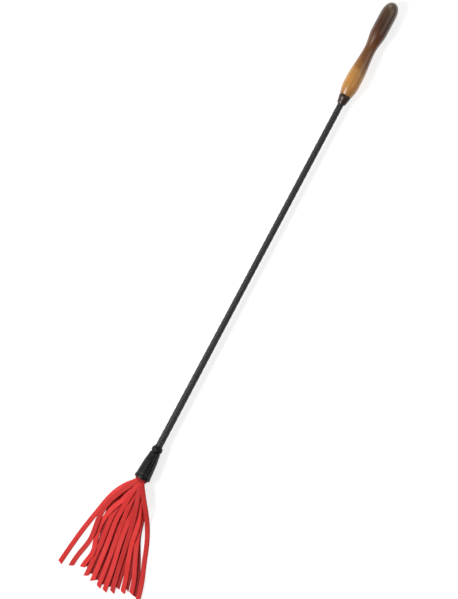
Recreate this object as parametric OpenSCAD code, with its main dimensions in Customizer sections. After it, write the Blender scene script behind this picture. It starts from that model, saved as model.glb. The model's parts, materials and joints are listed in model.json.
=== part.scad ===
// Costume stick with a turned wooden grip, a braided shaft and a tassel of leather tails.
//
// It lies on a flat surface. +X runs along the stick towards the pommel, the tails fan out
// towards -X, and +Z is up. The origin is the middle of the object's footprint.
// Distances along the stick are measured from the pommel's end.

/* [Node] */
// Sub-part to draw, or "all"

/* [Grip] */
// Length of the wooden grip
grip_l = 112; // [90:1:140]
// Radius of both swellings of the grip
belly_r = 9; // [7:0.1:11]
// Radius of the waist between the swellings
waist_r = 6.5; // [4.5:0.1:8]
// Radius of the wood where it meets the collar
grip_end_r = 7; // [4.5:0.1:8]
// Length of the rounded pommel end
dome_l = 19; // [10:1:26]
// Where the straight land of the pommel ends
pommel_land_end = 35; // [28:1:42]
// Where the waist is narrowest
waist_s = 57; // [48:1:66]
// Where the lower swelling begins to be full
lower_belly_start = 92; // [84:1:98]
// Where the lower swelling begins to fall away
lower_belly_end = 100; // [96:1:108]
// How far the rod reaches into the grip
rod_socket_l = 62; // [30:1:80]

/* [Collar] */
// Length of the dark collar under the grip
collar_l = 11; // [9:0.5:16]
// Length of the collar's straight ring next to the grip
collar_ring_l = 4; // [2:0.5:6]
// Width of the chamfer on the collar's ring
collar_edge = 0.4; // [0.2:0.1:0.8]
// Depth of the groove between the ring and the tapered part
collar_groove = 0.5; // [0.2:0.1:1]
// Collar radius next to the grip
collar_big_r = 6.4; // [4.5:0.1:8]
// Collar radius next to the shaft
collar_small_r = 4.7; // [3.6:0.1:6]

/* [Shaft] */
// Radius of the springy core rod
rod_r = 2; // [1:0.1:3]
// Outer radius of the braided cover along most of the shaft
cover_r = 3.45; // [2.5:0.05:5]
// Outer radius of the braided cover where it enters the keeper's knot
cover_end_r = 4; // [2.5:0.05:5]
// Where the cover begins to grow thicker
cover_taper_start = 380; // [200:10:500]
// Where the shaft enters the keeper's knot
shaft_end = 540; // [400:1:700]

/* [Keeper] */
// Length of the braided knot at the keeper's narrow end
knot_l = 7; // [4:0.5:12]
// Radius of that knot
knot_r = 6.2; // [5:0.1:8]
// Length of the leather keeper, without the knot
keeper_l = 32; // [24:1:50]
// Keeper radius next to the knot
keeper_small_r = 5.9; // [4.5:0.1:8]
// Keeper radius under the rim band
keeper_big_r = 8.5; // [6.5:0.1:10]
// Radius of the hollow that holds the tails' heads
mouth_r = 7.8; // [6:0.1:9]
// Depth of that hollow
mouth_depth = 18; // [12:1:26]
// Radius of the hollow at its closed end
hollow_end_r = 5.4; // [4.5:0.1:7]
// How far the rod reaches into the hollow
rod_out = 7; // [3:0.5:9]
// Thickness of the end cap beyond the rod
cap_wall = 2; // [1:0.5:3]
// Length of the rolled band around the mouth
rim_l = 4.5; // [2:0.5:8]

/* [Tails] */
// Width of one tail
tail_w = 5.5; // [3:0.1:9]
// Thickness of one tail
tail_t = 1.1; // [0.6:0.1:2]
// Gap between the upper and the under layer
layer_gap = 0.3; // [0.2:0.05:1]
// Angle that one tail of a layer takes up
tail_sector = 4; // [3:0.1:8]
// Gap between two neighbours of a layer where they still lie side by side
side_gap = 0.32; // [0.2:0.02:1]
// Distance of the tails' common turning point beyond the keeper's mouth
pivot_out = 2; // [1:0.5:5]
// Distance from the turning point at which a tail leaves the bundle
tail_start = 10; // [8:0.5:16]
// Radius of the gathered heads
heads_r = 7.2; // [5:0.1:8]
// Radius of the knot that the heads are gathered around
core_knot_r = 3.6; // [2:0.1:5]
// Radius of the hollow around that knot
core_hollow_r = 4; // [2.4:0.1:6]
// Radius of the hole through which the heads are tied to the rod
tie_hole_r = 2; // [1:0.1:3]
// Distance of the thread's groove from the middle of the heads
groove_out = 3; // [2:0.1:4]
// Width of that groove
groove_w = 1.4; // [1:0.1:2.4]
// Depth of that groove
groove_depth = 1.1; // [0.8:0.1:1.4]
// Radius of the binding thread's bundle
thread_r = 0.6; // [0.3:0.1:0.7]

/* [Hidden] */
// Direction in degrees from the stick's line, and length, of each tail, from left to right
top_tails = [
  [16.8, 124], [11.3, 119], [6.3, 113], [2.1, 119], [-1.9, 121], [-5.9, 124],
  [-9.9, 126], [-13.9, 125], [-18, 122], [-22.1, 122], [-26.2, 131]
];
under_tails = [
  [4.5, 110], [0.5, 115], [-3.6, 118], [-7.7, 121],
  [-11.8, 121], [-15.9, 119], [-20, 119], [-24, 124]
];
all_tails = concat(top_tails, under_tails);

mouth_s = shaft_end + knot_l + keeper_l;
pivot_s = mouth_s + pivot_out;
layer_step = (tail_t + layer_gap) / 2;
tail_floor = layer_step + tail_t / 2;

// Furthest corner of a tail along the stick and to each side, before the fan is sloped
function reach(tail) = tail[1] * cos(tail[0]) + tail_w / 2 * abs(sin(tail[0]));
function side(tail, sign) = tail[1] * sin(tail[0]) + sign * tail_w / 2 * cos(tail[0]);
fan_reach = max([for (tail = top_tails) reach(tail)]);
under_reach = max([for (tail = under_tails) reach(tail)]);
fan_left = max([for (tail = all_tails) side(tail, 1)]);
fan_right = min([for (tail = all_tails) side(tail, -1)]);

// The fan slopes down just enough for the longest under tail to touch the surface
slope = asin((belly_r - tail_floor) / under_reach);
tip_x = (pivot_s + fan_reach * cos(slope) + tail_floor * sin(slope)) / 2;
axis_y = -(fan_left + fan_right) / 2;

curve_steps = 14;
round_fn = 96;

// Puts a profile of [distance from the pommel's end, radius] around the stick's line
module turned(outline) {
  translate([tip_x, axis_y, belly_r])
    rotate([0, -90, 0])
      rotate_extrude($fn = round_fn)
        polygon([for (point = outline) [point[1], point[0]]]);
}

// Moves children from the tails' turning point to its place, sloped with the fan
module at_pivot(sloped) {
  translate([tip_x - pivot_s, axis_y, belly_r])
    rotate([0, sloped ? -slope : 0, 0])
      children();
}

function between(a, b, t) = a + (b - a) * t;
function eased(a, b, t) = between(a, b, (1 - cos(180 * t)) / 2);
function steps(from, to) = [for (i = [0 : curve_steps]) between(from, to, i / curve_steps)];
function fraction(s, from, to) = (s - from) / (to - from);

module grip() {
  dome = [for (i = [0 : curve_steps])
    let (s = dome_l * (1 - cos(90 * i / curve_steps)))
      [s, belly_r * sqrt(1 - pow(1 - s / dome_l, 3))]];
  to_waist = [for (s = steps(pommel_land_end, waist_s))
    [s, eased(belly_r, waist_r, fraction(s, pommel_land_end, waist_s))]];
  to_belly = [for (s = steps(waist_s, lower_belly_start))
    [s, eased(waist_r, belly_r, fraction(s, waist_s, lower_belly_start))]];
  to_end = [for (s = steps(lower_belly_end, grip_l))
    [s, between(grip_end_r, belly_r, cos(90 * fraction(s, lower_belly_end, grip_l)))]];
  socket = [[grip_l, rod_r], [grip_l - rod_socket_l, rod_r], [grip_l - rod_socket_l - rod_r, 0]];
  color([0.5, 0.31, 0.18])
    turned(concat(dome, to_waist, to_belly, to_end, socket));
}

module grip_collar() {
  ring_end = grip_l + collar_ring_l;
  collar_end = grip_l + collar_l;
  color([0.09, 0.07, 0.06])
    turned([
      [grip_l, cover_r], [grip_l, collar_big_r - collar_edge],
      [grip_l + collar_edge, collar_big_r], [ring_end, collar_big_r],
      [ring_end + 2 * collar_edge, collar_big_r - collar_groove],
      [ring_end + 4 * collar_edge, collar_big_r - collar_groove / 2],
      [collar_end, collar_small_r], [collar_end, cover_r]
    ]);
}

module core_rod() {
  rod_end = mouth_s - mouth_depth + rod_out;
  rod_start = grip_l - rod_socket_l;
  color([0.75, 0.73, 0.66])
    turned([[rod_start, 0], [rod_start, rod_r], [rod_end, rod_r], [rod_end, 0]]);
}

module braided_cover() {
  cover_end = mouth_s - mouth_depth;
  color([0.16, 0.16, 0.17])
    turned([
      [grip_l, rod_r], [grip_l, cover_r], [cover_taper_start, cover_r],
      [shaft_end, cover_end_r], [cover_end, cover_end_r], [cover_end, rod_r]
    ]);
}

module keeper_knot() {
  rise = knot_r - cover_end_r;
  bulge = [for (i = [0 : curve_steps])
    [shaft_end + knot_l * i / curve_steps, cover_end_r + rise * sqrt(sin(180 * i / curve_steps))]];
  color([0.07, 0.06, 0.06])
    turned(bulge);
}

module keeper() {
  start = shaft_end + knot_l;
  swell = [for (s = steps(start, mouth_s - rim_l))
    [s, between(keeper_small_r, keeper_big_r, sin(90 * fraction(s, start, mouth_s - rim_l)))]];
  hollow_start = mouth_s - mouth_depth;
  color([0.1, 0.09, 0.09])
    turned(concat(
      [[start, cover_end_r]], swell,
      [[mouth_s, keeper_big_r], [mouth_s, mouth_r], [mouth_s - mouth_depth / 2, mouth_r]],
      [[hollow_start, hollow_end_r], [hollow_start, cover_end_r]]
    ));
}

module keeper_rim() {
  middle = mouth_s - rim_l / 2;
  rolled = [for (i = [0 : curve_steps])
    let (a = 180 * i / curve_steps)
      [middle - rim_l / 2 * cos(a), keeper_big_r + (belly_r - keeper_big_r) * sin(a)]];
  color([0.07, 0.06, 0.06])
    turned(rolled);
}

module rod_end_cap() {
  start = mouth_s - mouth_depth;
  rod_end = start + rod_out;
  cap_end = rod_end + cap_wall;
  color([0.72, 0.6, 0.32])
    turned([
      [start, rod_r], [start, cover_r], [cap_end - 1, cover_r], [cap_end, cover_r - 1],
      [cap_end, 0], [rod_end, 0], [rod_end, rod_r]
    ]);
}

module core_knot() {
  color([0.35, 0.06, 0.05])
    at_pivot(false) sphere(r = core_knot_r, $fn = round_fn);
}

// The gathered heads are a hollow ball, open towards the rod, with a groove for the thread
groove_near = groove_out + groove_w / 2;
groove_far = groove_out - groove_w / 2;
groove_floor_r = sqrt(pow(heads_r, 2) - pow(groove_out, 2)) - groove_depth;

function ball_arc(r, from, to) =
  [for (a = steps(from, to)) [pivot_s - r * cos(a), r * sin(a)]];

module tail_heads() {
  outside = concat(
    ball_arc(heads_r, asin(tie_hole_r / heads_r), acos(groove_near / heads_r)),
    [[pivot_s - groove_near, groove_floor_r], [pivot_s - groove_far, groove_floor_r]],
    ball_arc(heads_r, acos(groove_far / heads_r), 180)
  );
  inside = ball_arc(core_hollow_r, 180, asin(tie_hole_r / core_hollow_r));
  color([0.66, 0.1, 0.09])
    turned(concat(outside, inside));
}

module binding_thread() {
  color([0.12, 0.1, 0.1])
    translate([tip_x - pivot_s + groove_out, axis_y, belly_r])
      rotate([0, 90, 0])
        rotate_extrude($fn = round_fn)
          translate([groove_floor_r + thread_r, 0]) circle(r = thread_r, $fn = 32);
}

// One flat tail. It is narrow where it lies against its neighbours in the bundle.
module tail(heading, length, layer) {
  half_w = tail_w / 2;
  half_start = tail_start * tan(tail_sector / 2) - side_gap / 2;
  full_at = (half_w + side_gap / 2) / tan(tail_sector / 2);
  at_pivot(true)
    translate([0, 0, layer * layer_step - tail_t / 2])
      rotate([0, 0, 180 - heading])
        linear_extrude(tail_t)
          polygon([
            [tail_start, -half_start], [full_at, -half_w], [length, -half_w],
            [length, half_w], [full_at, half_w], [tail_start, half_start]
          ]);
}

grip();
grip_collar();
core_rod();
braided_cover();
keeper_knot();
keeper();
keeper_rim();
rod_end_cap();
core_knot();
tail_heads();
binding_thread();

for (i = [0 : len(top_tails) - 1])
  color([0.78, 0.14, 0.13]) tail(top_tails[i][0], top_tails[i][1], 1);

for (i = [0 : len(under_tails) - 1])
  color([0.62, 0.09, 0.08]) tail(under_tails[i][0], under_tails[i][1], -1);
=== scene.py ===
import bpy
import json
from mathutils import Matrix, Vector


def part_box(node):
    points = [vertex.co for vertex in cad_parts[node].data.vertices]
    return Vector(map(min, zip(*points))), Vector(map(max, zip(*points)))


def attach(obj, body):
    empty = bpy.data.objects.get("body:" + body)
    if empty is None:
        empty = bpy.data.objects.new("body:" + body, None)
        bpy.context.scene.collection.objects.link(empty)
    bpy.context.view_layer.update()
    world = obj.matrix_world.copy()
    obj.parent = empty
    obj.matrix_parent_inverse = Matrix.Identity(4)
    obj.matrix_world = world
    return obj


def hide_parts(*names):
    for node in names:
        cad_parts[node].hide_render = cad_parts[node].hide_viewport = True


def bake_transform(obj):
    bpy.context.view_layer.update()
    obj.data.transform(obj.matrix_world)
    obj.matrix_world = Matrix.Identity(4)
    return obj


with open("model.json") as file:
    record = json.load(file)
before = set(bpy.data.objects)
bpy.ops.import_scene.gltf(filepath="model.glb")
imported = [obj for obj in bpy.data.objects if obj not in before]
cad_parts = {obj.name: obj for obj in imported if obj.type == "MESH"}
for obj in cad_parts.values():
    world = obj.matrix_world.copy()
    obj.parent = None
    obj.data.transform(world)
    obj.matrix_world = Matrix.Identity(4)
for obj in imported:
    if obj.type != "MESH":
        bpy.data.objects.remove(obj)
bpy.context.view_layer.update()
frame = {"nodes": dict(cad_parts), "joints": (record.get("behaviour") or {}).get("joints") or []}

# %% [markdown]
# # A costume stick with a leather tassel
#
# This lesson dresses a measured model of a small costume prop: a turned wooden grip, a slim
# braided shaft, a flared leather keeper, and a fan of flat red leather tails. The measured
# model already has the right sizes and joints, so everything here is about looks.
#
# All lengths are in metres. +X runs along the stick towards the pommel, and the tails fan
# out towards -X. The stick lies on a surface at height zero.

# Nothing that is added may leave it by much.

# %% Imports
import json
import random
from math import atan2, cos, exp, hypot, pi, radians, sin, sqrt, tan, tau

import bpy
import numpy as np
from mathutils import Matrix, Vector

MM = 0.001

# %% [markdown]
# ## Where the main parts are
#
# Every position comes from the measured model. The grip gives the stick's line and the
# pommel's end, and the other parts give the distances along it. The same positions could
# be typed in as numbers, but then looks and model would drift apart as soon as one changed.

# %% Read the stick's line and its stations
grip_low, grip_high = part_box("grip")
stick_y = (grip_low.y + grip_high.y) / 2
stick_z = (grip_low.z + grip_high.z) / 2
pommel_x = grip_high.x
grip_length = grip_high.x - grip_low.x
cover_low, cover_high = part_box("braided_cover")
knot_low, knot_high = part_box("keeper_knot")
keeper_low, keeper_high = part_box("keeper")
rim_low, rim_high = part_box("keeper_rim")
collar_low, collar_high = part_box("grip_collar")
belly_r = (grip_high.z - grip_low.z) / 2
cover_end_r = (cover_high.z - cover_low.z) / 2
keeper_r = (keeper_high.z - keeper_low.z) / 2
pivot = Vector(frame["joints"][0]["pos_m"])


def on_stick(s, r=0.0, angle=0.0):
    """A point s from the pommel's end, r from the stick's line, at an angle around it."""
    return Vector((pommel_x - s, stick_y + r * cos(angle), stick_z + r * sin(angle)))


def along(x):
    """Distance of a position x from the pommel's end."""
    return pommel_x - x


print("stick's line at y %.4f, z %.4f; turning point of the tails at x %.4f"
      % (stick_y, stick_z, pivot.x))

# %% The shaft's thickness
COVER_R = 3.45 * MM
COVER_TAPER_START = 380 * MM
shaft_end = along(knot_high.x)


def cover_radius(s):
    """The shaft is even at first and grows a little thicker towards the keeper."""
    t = (s - COVER_TAPER_START) / (shaft_end - COVER_TAPER_START)
    return COVER_R + (cover_end_r - COVER_R) * min(max(t, 0), 1)


print("shaft %.1f mm thick, and %.1f mm at the keeper" % (2 * COVER_R / MM, 2 * cover_end_r / MM))

# %% [markdown]
# ## The camera
#
# The stick is looked at from straight above, as a product lies on a light table. An
# orthographic camera would show it without any perspective. A long lens from far away looks
# almost the same, keeps the sides of the slim shaft parallel, and still behaves like a real
# camera in other views. It is rolled, so the stick runs from upper right to lower left.

# %% Camera
# From the pommel's end down the stick, and from the stick's line sideways, to the view's middle.
VIEW_DOWN_STICK = 0.3647
VIEW_SIDEWAYS = 0.0076
VIEW_CENTRE = Vector((pommel_x - VIEW_DOWN_STICK, stick_y + VIEW_SIDEWAYS, 0.0))
VIEW_HEIGHT = 0.6443
CAMERA_DISTANCE = 6.0
CLIP_END = 50.0
SENSOR = 36.0
ROLL_FROM_VERTICAL = radians(28.0)

camera_data = bpy.data.cameras.new("camera")
camera_data.sensor_width = SENSOR
camera_data.lens = SENSOR * CAMERA_DISTANCE / VIEW_HEIGHT
camera_data.clip_end = CLIP_END
camera = bpy.data.objects.new("camera", camera_data)
bpy.context.scene.collection.objects.link(camera)
camera.location = VIEW_CENTRE + Vector((0, 0, CAMERA_DISTANCE))
camera.rotation_euler = (0, 0, ROLL_FROM_VERTICAL - pi / 2)
bpy.context.scene.camera = camera
print("camera lens %.0f mm" % camera_data.lens)

# %% [markdown]
# ## Floor and light
#
# The stick lies on a plain pale surface under large soft lamps. Small lamps would throw hard
# shadows beside the thin shaft, and they would take the eye away from it. Materials are node
# trees, so a few short helpers come first. They add a node, link two sockets, or turn a
# colour as it looks on a screen into the linear values that a shader works with.

# %% Helpers for materials
def new_material(name):
    """A material with a Principled shader, and the node tree to add to."""
    material = bpy.data.materials.new(name)
    material.use_nodes = True
    shader = material.node_tree.nodes["Principled BSDF"]
    return material, material.node_tree, shader


def node(tree, kind, **settings):
    """Adds a node and sets its properties. A name that starts with in__ sets an input."""
    made = tree.nodes.new(kind)
    for key, value in settings.items():
        if key.startswith("in__"):
            made.inputs[key[4:].replace("_", " ")].default_value = value
        else:
            setattr(made, key, value)
    return made


def link(tree, source, target):
    """Joins an output socket to an input socket."""
    tree.links.new(source, target)


def srgb(r, g, b):
    """A colour as seen on a screen, 0 to 255, in the shader's own linear units."""
    def linear(c):
        """One channel, without the curve that screens use."""
        c = c / 255
        return c / 12.92 if c <= 0.04045 else ((c + 0.055) / 1.055) ** 2.4
    return (linear(r), linear(g), linear(b), 1.0)


print("a mid grey of 128 on a screen is %.3f in a shader" % srgb(128, 128, 128)[0])

# %% Floor
FLOOR_HALF = 4.0
# A hair under the stick's lowest point, so that the two surfaces never lie in each other.
FLOOR_DROP = 0.2 * MM
FLOOR_GREY = 0.5
# The surface gives a little light of its own, as a light table does. That keeps shadows faint.
FLOOR_GLOW = 0.75


def make_floor():
    """A large square at the height of the surface that the stick lies on."""
    mesh = bpy.data.meshes.new("floor")
    corners = [(x * FLOOR_HALF, y * FLOOR_HALF, 0) for x, y in ((-1, -1), (1, -1), (1, 1), (-1, 1))]
    mesh.from_pydata(corners, [], [(0, 1, 2, 3)])
    floor = bpy.data.objects.new("floor", mesh)
    bpy.context.scene.collection.objects.link(floor)
    floor.location.z = -FLOOR_DROP
    material, _, shader = new_material("pale floor")
    shader.inputs["Base Color"].default_value = (FLOOR_GREY, FLOOR_GREY, FLOOR_GREY, 1)
    shader.inputs["Roughness"].default_value = 0.9
    shader.inputs["Specular IOR Level"].default_value = 0.0
    shader.inputs["Emission Color"].default_value = (1, 1, 1, 1)
    shader.inputs["Emission Strength"].default_value = FLOOR_GLOW
    mesh.materials.append(material)


make_floor()
print("floor %.0f m wide" % (2 * FLOOR_HALF))


# %% Lamps and the room's own light
WORLD_STRENGTH = 0.12


def soft_light(name, place, size, power):
    """A large square lamp that faces the middle of the picture."""
    data = bpy.data.lights.new(name, "AREA")
    data.size = size
    data.energy = power
    lamp = bpy.data.objects.new(name, data)
    bpy.context.scene.collection.objects.link(lamp)
    lamp.location = place
    lamp.rotation_euler = (VIEW_CENTRE - Vector(place)).to_track_quat("-Z", "Y").to_euler()


soft_light("key light", (-0.9, 1.3, 1.5), 0.8, 40)
soft_light("fill light", (0.9, -1.1, 1.6), 1.4, 8)
soft_light("end light", (1.6, 0.9, 0.9), 0.7, 5)

world = bpy.data.worlds.new("studio")
world.use_nodes = True
background = world.node_tree.nodes["Background"]
background.inputs["Color"].default_value = (1, 1, 1, 1)
background.inputs["Strength"].default_value = WORLD_STRENGTH
bpy.context.scene.world = world
print("three soft lamps and a dim white room")

# %% [markdown]
# ## Building meshes from a few rules
#
# Three small builders make almost every piece. A lathe turns a profile around the stick,
# as the wood turner does. A sweep carries a cross-section along a path, which is how a
# strip, a strand or a thread is described. The third joins many sweeps into one piece.
#
# Blender's Screw modifier and its curves with a bevel do much the same. Here the points are
# worked out directly, so each one also gets its (across, along) coordinates. Yarn and suede
# need those, because their fibres follow the strand or the strip.

# %% A new piece, and what every piece is given
def new_piece(name, verts, faces, uvs=None):
    """A smooth mesh piece. uvs is one (across, along) pair for each vertex, in metres."""
    mesh = bpy.data.meshes.new(name)
    mesh.from_pydata([tuple(v) for v in verts], [], faces)
    if uvs is not None:
        layer = mesh.uv_layers.new(name="surface")
        index = np.empty(len(mesh.loops), dtype=np.int32)
        mesh.loops.foreach_get("vertex_index", index)
        layer.data.foreach_set("uv", np.array(uvs, dtype=np.float32)[index].ravel())
    mesh.polygons.foreach_set("use_smooth", [True] * len(mesh.polygons))
    mesh.validate()
    mesh.update()
    piece = bpy.data.objects.new(name, mesh)
    bpy.context.scene.collection.objects.link(piece)
    return piece


def finish_piece(piece, material, body=None, instead_of=()):
    """Gives a piece its material, and the CAD nodes that it stands for."""
    piece.data.materials.append(material)
    if body:
        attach(piece, body)
    if instead_of:
        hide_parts(*instead_of)
    return piece


print("helpers for new pieces ready")


# %% Lathe
ON_THE_LINE = 0.0001 * MM
# An outline that isn't quite round has three soft lobes, which turn slowly along the stick.
LOBES = 3
LOBE_TWIST = 40.0


def lathe(name, profile, segments=96, wobble=0.0):
    """Turns a list of (distance from the pommel's end, radius) around the stick's line."""
    verts, faces, uvs = [], [], []
    rings = []
    path = 0.0
    for i, (s, r) in enumerate(profile):
        if i:
            path += hypot(s - profile[i - 1][0], r - profile[i - 1][1])
        if r < ON_THE_LINE:
            rings.append([len(verts)])
            verts.append(on_stick(s))
            uvs.append((0, path))
            continue
        ring = []
        for k in range(segments):
            a = tau * k / segments
            ring.append(len(verts))
            verts.append(on_stick(s, r * (1 + wobble * sin(LOBES * a + LOBE_TWIST * s)), a))
            uvs.append((a, path))
        rings.append(ring)
    for a, b in zip(rings, rings[1:]):
        for k in range(segments):
            k2 = (k + 1) % segments
            if len(a) == 1:
                faces.append((a[0], b[k2], b[k]))
            elif len(b) == 1:
                faces.append((a[k], a[k2], b[0]))
            else:
                faces.append((a[k], a[k2], b[k2], b[k]))
    return new_piece(name, verts, faces, uvs)


print("lathe ready")


# %% Sweep
def sweep(path, sides, ups, section):
    """Carries a closed section of (across, up) points along a path. Returns verts, faces, uvs."""
    verts, faces, uvs = [], [], []
    n = len(section(0.0))
    run = 0.0
    for i, point in enumerate(path):
        if i:
            run += (point - path[i - 1]).length
        t = i / (len(path) - 1)
        for u, v in section(t):
            verts.append(point + sides[i] * u + ups[i] * v)
            uvs.append((u, run))
    for i in range(len(path) - 1):
        for k in range(n):
            k2 = (k + 1) % n
            faces.append((i * n + k, i * n + k2, (i + 1) * n + k2, (i + 1) * n + k))
    faces.append(tuple(range(n)))
    faces.append(tuple((len(path) - 1) * n + k for k in reversed(range(n))))
    return verts, faces, uvs


def joined(name, parts):
    """Puts several (verts, faces, uvs) into one piece."""
    verts, faces, uvs = [], [], []
    for v, f, u in parts:
        start = len(verts)
        verts += v
        faces += [tuple(i + start for i in face) for face in f]
        uvs += u
    return new_piece(name, verts, faces, uvs)


def oval(width, height, count=10):
    """Points of an oval section."""
    return [(width / 2 * cos(tau * k / count), height / 2 * sin(tau * k / count))
            for k in range(count)]


print("sweep ready")

# %% [markdown]
# ## Shared surface effects
#
# Leather grain, wood grain and yarn are used by several materials, so each is one node
# group. The nodes could be copied into every material, but then a change would have to be
# made in each of them. A group only works out masks and heights. The shader itself stays
# in the material, where the light's response is set.

# %% Helpers for node trees
def new_group(name, inputs, outputs):
    """An empty node group with its sockets. Each socket is (name, kind, default)."""
    group = bpy.data.node_groups.new(name, "ShaderNodeTree")
    for title, kind, default in inputs:
        socket = group.interface.new_socket(title, in_out="INPUT", socket_type=kind)
        if default is not None:
            socket.default_value = default
    for title, kind in outputs:
        group.interface.new_socket(title, in_out="OUTPUT", socket_type=kind)
    return group, group.nodes.new("NodeGroupInput"), group.nodes.new("NodeGroupOutput")


def use_group(tree, group, **values):
    """Places a group in a material and sets its inputs."""
    made = tree.nodes.new("ShaderNodeGroup")
    made.node_tree = group
    for key, value in values.items():
        made.inputs[key.replace("_", " ")].default_value = value
    return made


def maths(tree, operation, a, b=None, clamp=False):
    """A Math node. Each operand is a socket or a number. Returns its output."""
    made = node(tree, "ShaderNodeMath", operation=operation, use_clamp=clamp)
    for place, value in enumerate((a, b)):
        if value is None:
            continue
        if isinstance(value, (int, float)):
            made.inputs[place].default_value = value
        else:
            link(tree, value, made.inputs[place])
    return made.outputs[0]


def mix_colour(tree, factor, a, b, blend="MIX"):
    """A Mix node for colours. Returns its output."""
    made = node(tree, "ShaderNodeMix", data_type="RGBA", blend_type=blend)
    for place, value in ((0, factor), (6, a), (7, b)):
        if isinstance(value, (int, float, tuple)):
            made.inputs[place].default_value = value
        else:
            link(tree, value, made.inputs[place])
    return made.outputs[2]


def add_bump(tree, shader, height, distance, strength=1.0):
    """Lets a height pattern tilt the surface, without moving any of the mesh."""
    bump = node(tree, "ShaderNodeBump", in__Distance=distance, in__Strength=strength)
    link(tree, height, bump.inputs["Height"])
    link(tree, bump.outputs["Normal"], shader.inputs["Normal"])


print("helpers for node trees ready")


# %% Leather
def build_leather_group():
    """Pebbled grain, long fibres and broad patches, for any leather."""
    group, start, end = new_group(
        "leather surface",
        [("Vector", "NodeSocketVector", None), ("Scale", "NodeSocketFloat", 1.0)],
        [("Height", "NodeSocketFloat"), ("Grain", "NodeSocketFloat"),
         ("Patches", "NodeSocketFloat")])
    scaled = node(group, "ShaderNodeVectorMath", operation="SCALE")
    link(group, start.outputs["Vector"], scaled.inputs[0])
    link(group, start.outputs["Scale"], scaled.inputs["Scale"])
    pebbles = node(group, "ShaderNodeTexVoronoi", feature="SMOOTH_F1", in__Scale=1500.0,
                   in__Smoothness=0.5)
    fibres = node(group, "ShaderNodeTexNoise", in__Scale=2600.0, in__Detail=4.0,
                  in__Roughness=0.65)
    patches = node(group, "ShaderNodeTexNoise", in__Scale=90.0, in__Detail=3.0,
                   in__Roughness=0.5)
    for texture in (pebbles, fibres, patches):
        link(group, scaled.outputs[0], texture.inputs["Vector"])
    grain = maths(group, "MULTIPLY", pebbles.outputs["Distance"], 0.6)
    height = maths(group, "ADD", grain, maths(group, "MULTIPLY", fibres.outputs[0], 0.7))
    link(group, height, end.inputs["Height"])
    link(group, fibres.outputs[0], end.inputs["Grain"])
    link(group, patches.outputs[0], end.inputs["Patches"])
    return group


leather_surface = build_leather_group()
print("leather surface with", len(leather_surface.nodes), "nodes")


# %% Turned wood
def build_wood_group():
    """Year rings drawn out along the stick, with fine pores and broad figure."""
    group, start, end = new_group(
        "turned wood figure",
        [("Vector", "NodeSocketVector", None)],
        [("Rings", "NodeSocketFloat"), ("Pores", "NodeSocketFloat"),
         ("Figure", "NodeSocketFloat")])
    # The grain runs along X, so X is squeezed before the textures are looked up.
    drawn_out = node(group, "ShaderNodeMapping")
    drawn_out.inputs["Scale"].default_value = (0.09, 1.0, 1.0)
    link(group, start.outputs["Vector"], drawn_out.inputs["Vector"])
    bend = node(group, "ShaderNodeTexNoise", in__Scale=110.0, in__Detail=2.0)
    link(group, drawn_out.outputs[0], bend.inputs["Vector"])
    moved = node(group, "ShaderNodeVectorMath", operation="MULTIPLY_ADD")
    link(group, bend.outputs["Color"], moved.inputs[0])
    moved.inputs[1].default_value = (0.004, 0.004, 0.004)
    link(group, drawn_out.outputs[0], moved.inputs[2])
    rings = node(group, "ShaderNodeTexWave", wave_type="BANDS", bands_direction="Y",
                 wave_profile="SIN", in__Scale=170.0, in__Distortion=3.5, in__Detail=2.0,
                 in__Detail_Scale=1.6)
    link(group, moved.outputs[0], rings.inputs["Vector"])
    pores = node(group, "ShaderNodeTexNoise", in__Scale=2400.0, in__Detail=3.0,
                 in__Roughness=0.7)
    link(group, drawn_out.outputs[0], pores.inputs["Vector"])
    figure = node(group, "ShaderNodeTexNoise", in__Scale=38.0, in__Detail=4.0,
                  in__Roughness=0.55)
    less_drawn_out = node(group, "ShaderNodeMapping")
    less_drawn_out.inputs["Scale"].default_value = (0.6, 1.0, 1.0)
    link(group, start.outputs["Vector"], less_drawn_out.inputs["Vector"])
    link(group, less_drawn_out.outputs[0], figure.inputs["Vector"])
    link(group, rings.outputs["Fac"], end.inputs["Rings"])
    link(group, pores.outputs[0], end.inputs["Pores"])
    link(group, figure.outputs[0], end.inputs["Figure"])
    return group


wood_figure = build_wood_group()
print("turned wood figure with", len(wood_figure.nodes), "nodes")


# %% Yarn
def build_yarn_group():
    """Fine twisted fibres that run along a strand, from its (across, along) coordinates."""
    group, start, end = new_group(
        "yarn fibres",
        [("UV", "NodeSocketVector", None), ("Fineness", "NodeSocketFloat", 1.0)],
        [("Height", "NodeSocketFloat"), ("Lint", "NodeSocketFloat")])
    scaled = node(group, "ShaderNodeVectorMath", operation="SCALE")
    link(group, start.outputs["UV"], scaled.inputs[0])
    link(group, start.outputs["Fineness"], scaled.inputs["Scale"])
    slanted = node(group, "ShaderNodeMapping")
    slanted.inputs["Rotation"].default_value = (0, 0, radians(28))
    slanted.inputs["Scale"].default_value = (1.0, 0.18, 1.0)
    link(group, scaled.outputs[0], slanted.inputs["Vector"])
    fibres = node(group, "ShaderNodeTexNoise", in__Scale=5200.0, in__Detail=3.0,
                  in__Roughness=0.6)
    link(group, slanted.outputs[0], fibres.inputs["Vector"])
    lint = node(group, "ShaderNodeTexNoise", in__Scale=420.0, in__Detail=5.0,
                in__Roughness=0.7)
    link(group, scaled.outputs[0], lint.inputs["Vector"])
    link(group, fibres.outputs[0], end.inputs["Height"])
    link(group, lint.outputs[0], end.inputs["Lint"])
    return group


yarn_fibres = build_yarn_group()
print("yarn fibres with", len(yarn_fibres.nodes), "nodes")
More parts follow.
